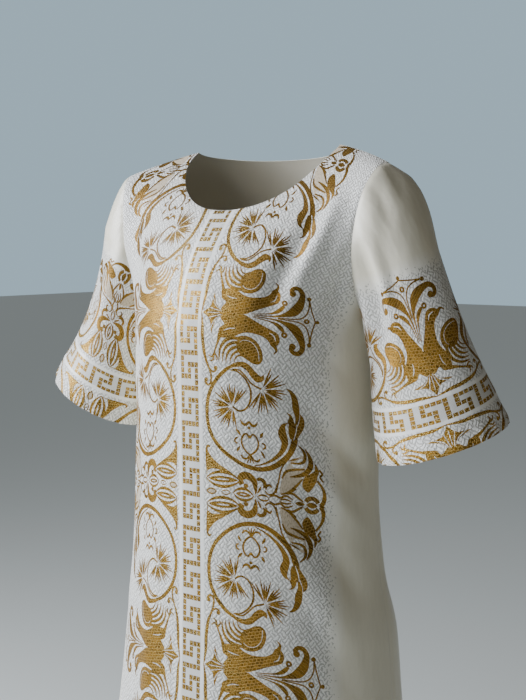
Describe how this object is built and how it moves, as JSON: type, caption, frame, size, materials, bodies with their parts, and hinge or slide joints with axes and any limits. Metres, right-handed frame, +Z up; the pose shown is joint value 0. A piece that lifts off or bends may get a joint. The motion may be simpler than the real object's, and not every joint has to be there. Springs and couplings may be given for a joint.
{
  "type": "kaftan",
  "caption": "Full-length straight kaftan in worn form, with a wide round neck and set-in elbow-length sleeves, open and empty inside.",
  "frame": {"origin": "midway between the neck ends of the two shoulder seams, where the wearer's shoulders hold the garment", "axes": "+Z up, the front faces -Y, the wearer's left is +X"},
  "size_m": [0.6484, 0.4064, 1.362],
  "materials": {
    "brocade": "satin-faced cream brocade with gold figuring at the front and on the sleeves"
  },
  "bodies": {
    "root": {"front": "brocade", "back": "brocade", "sleeve_left": "brocade", "sleeve_right": "brocade"}
  },
  "joints": []
}
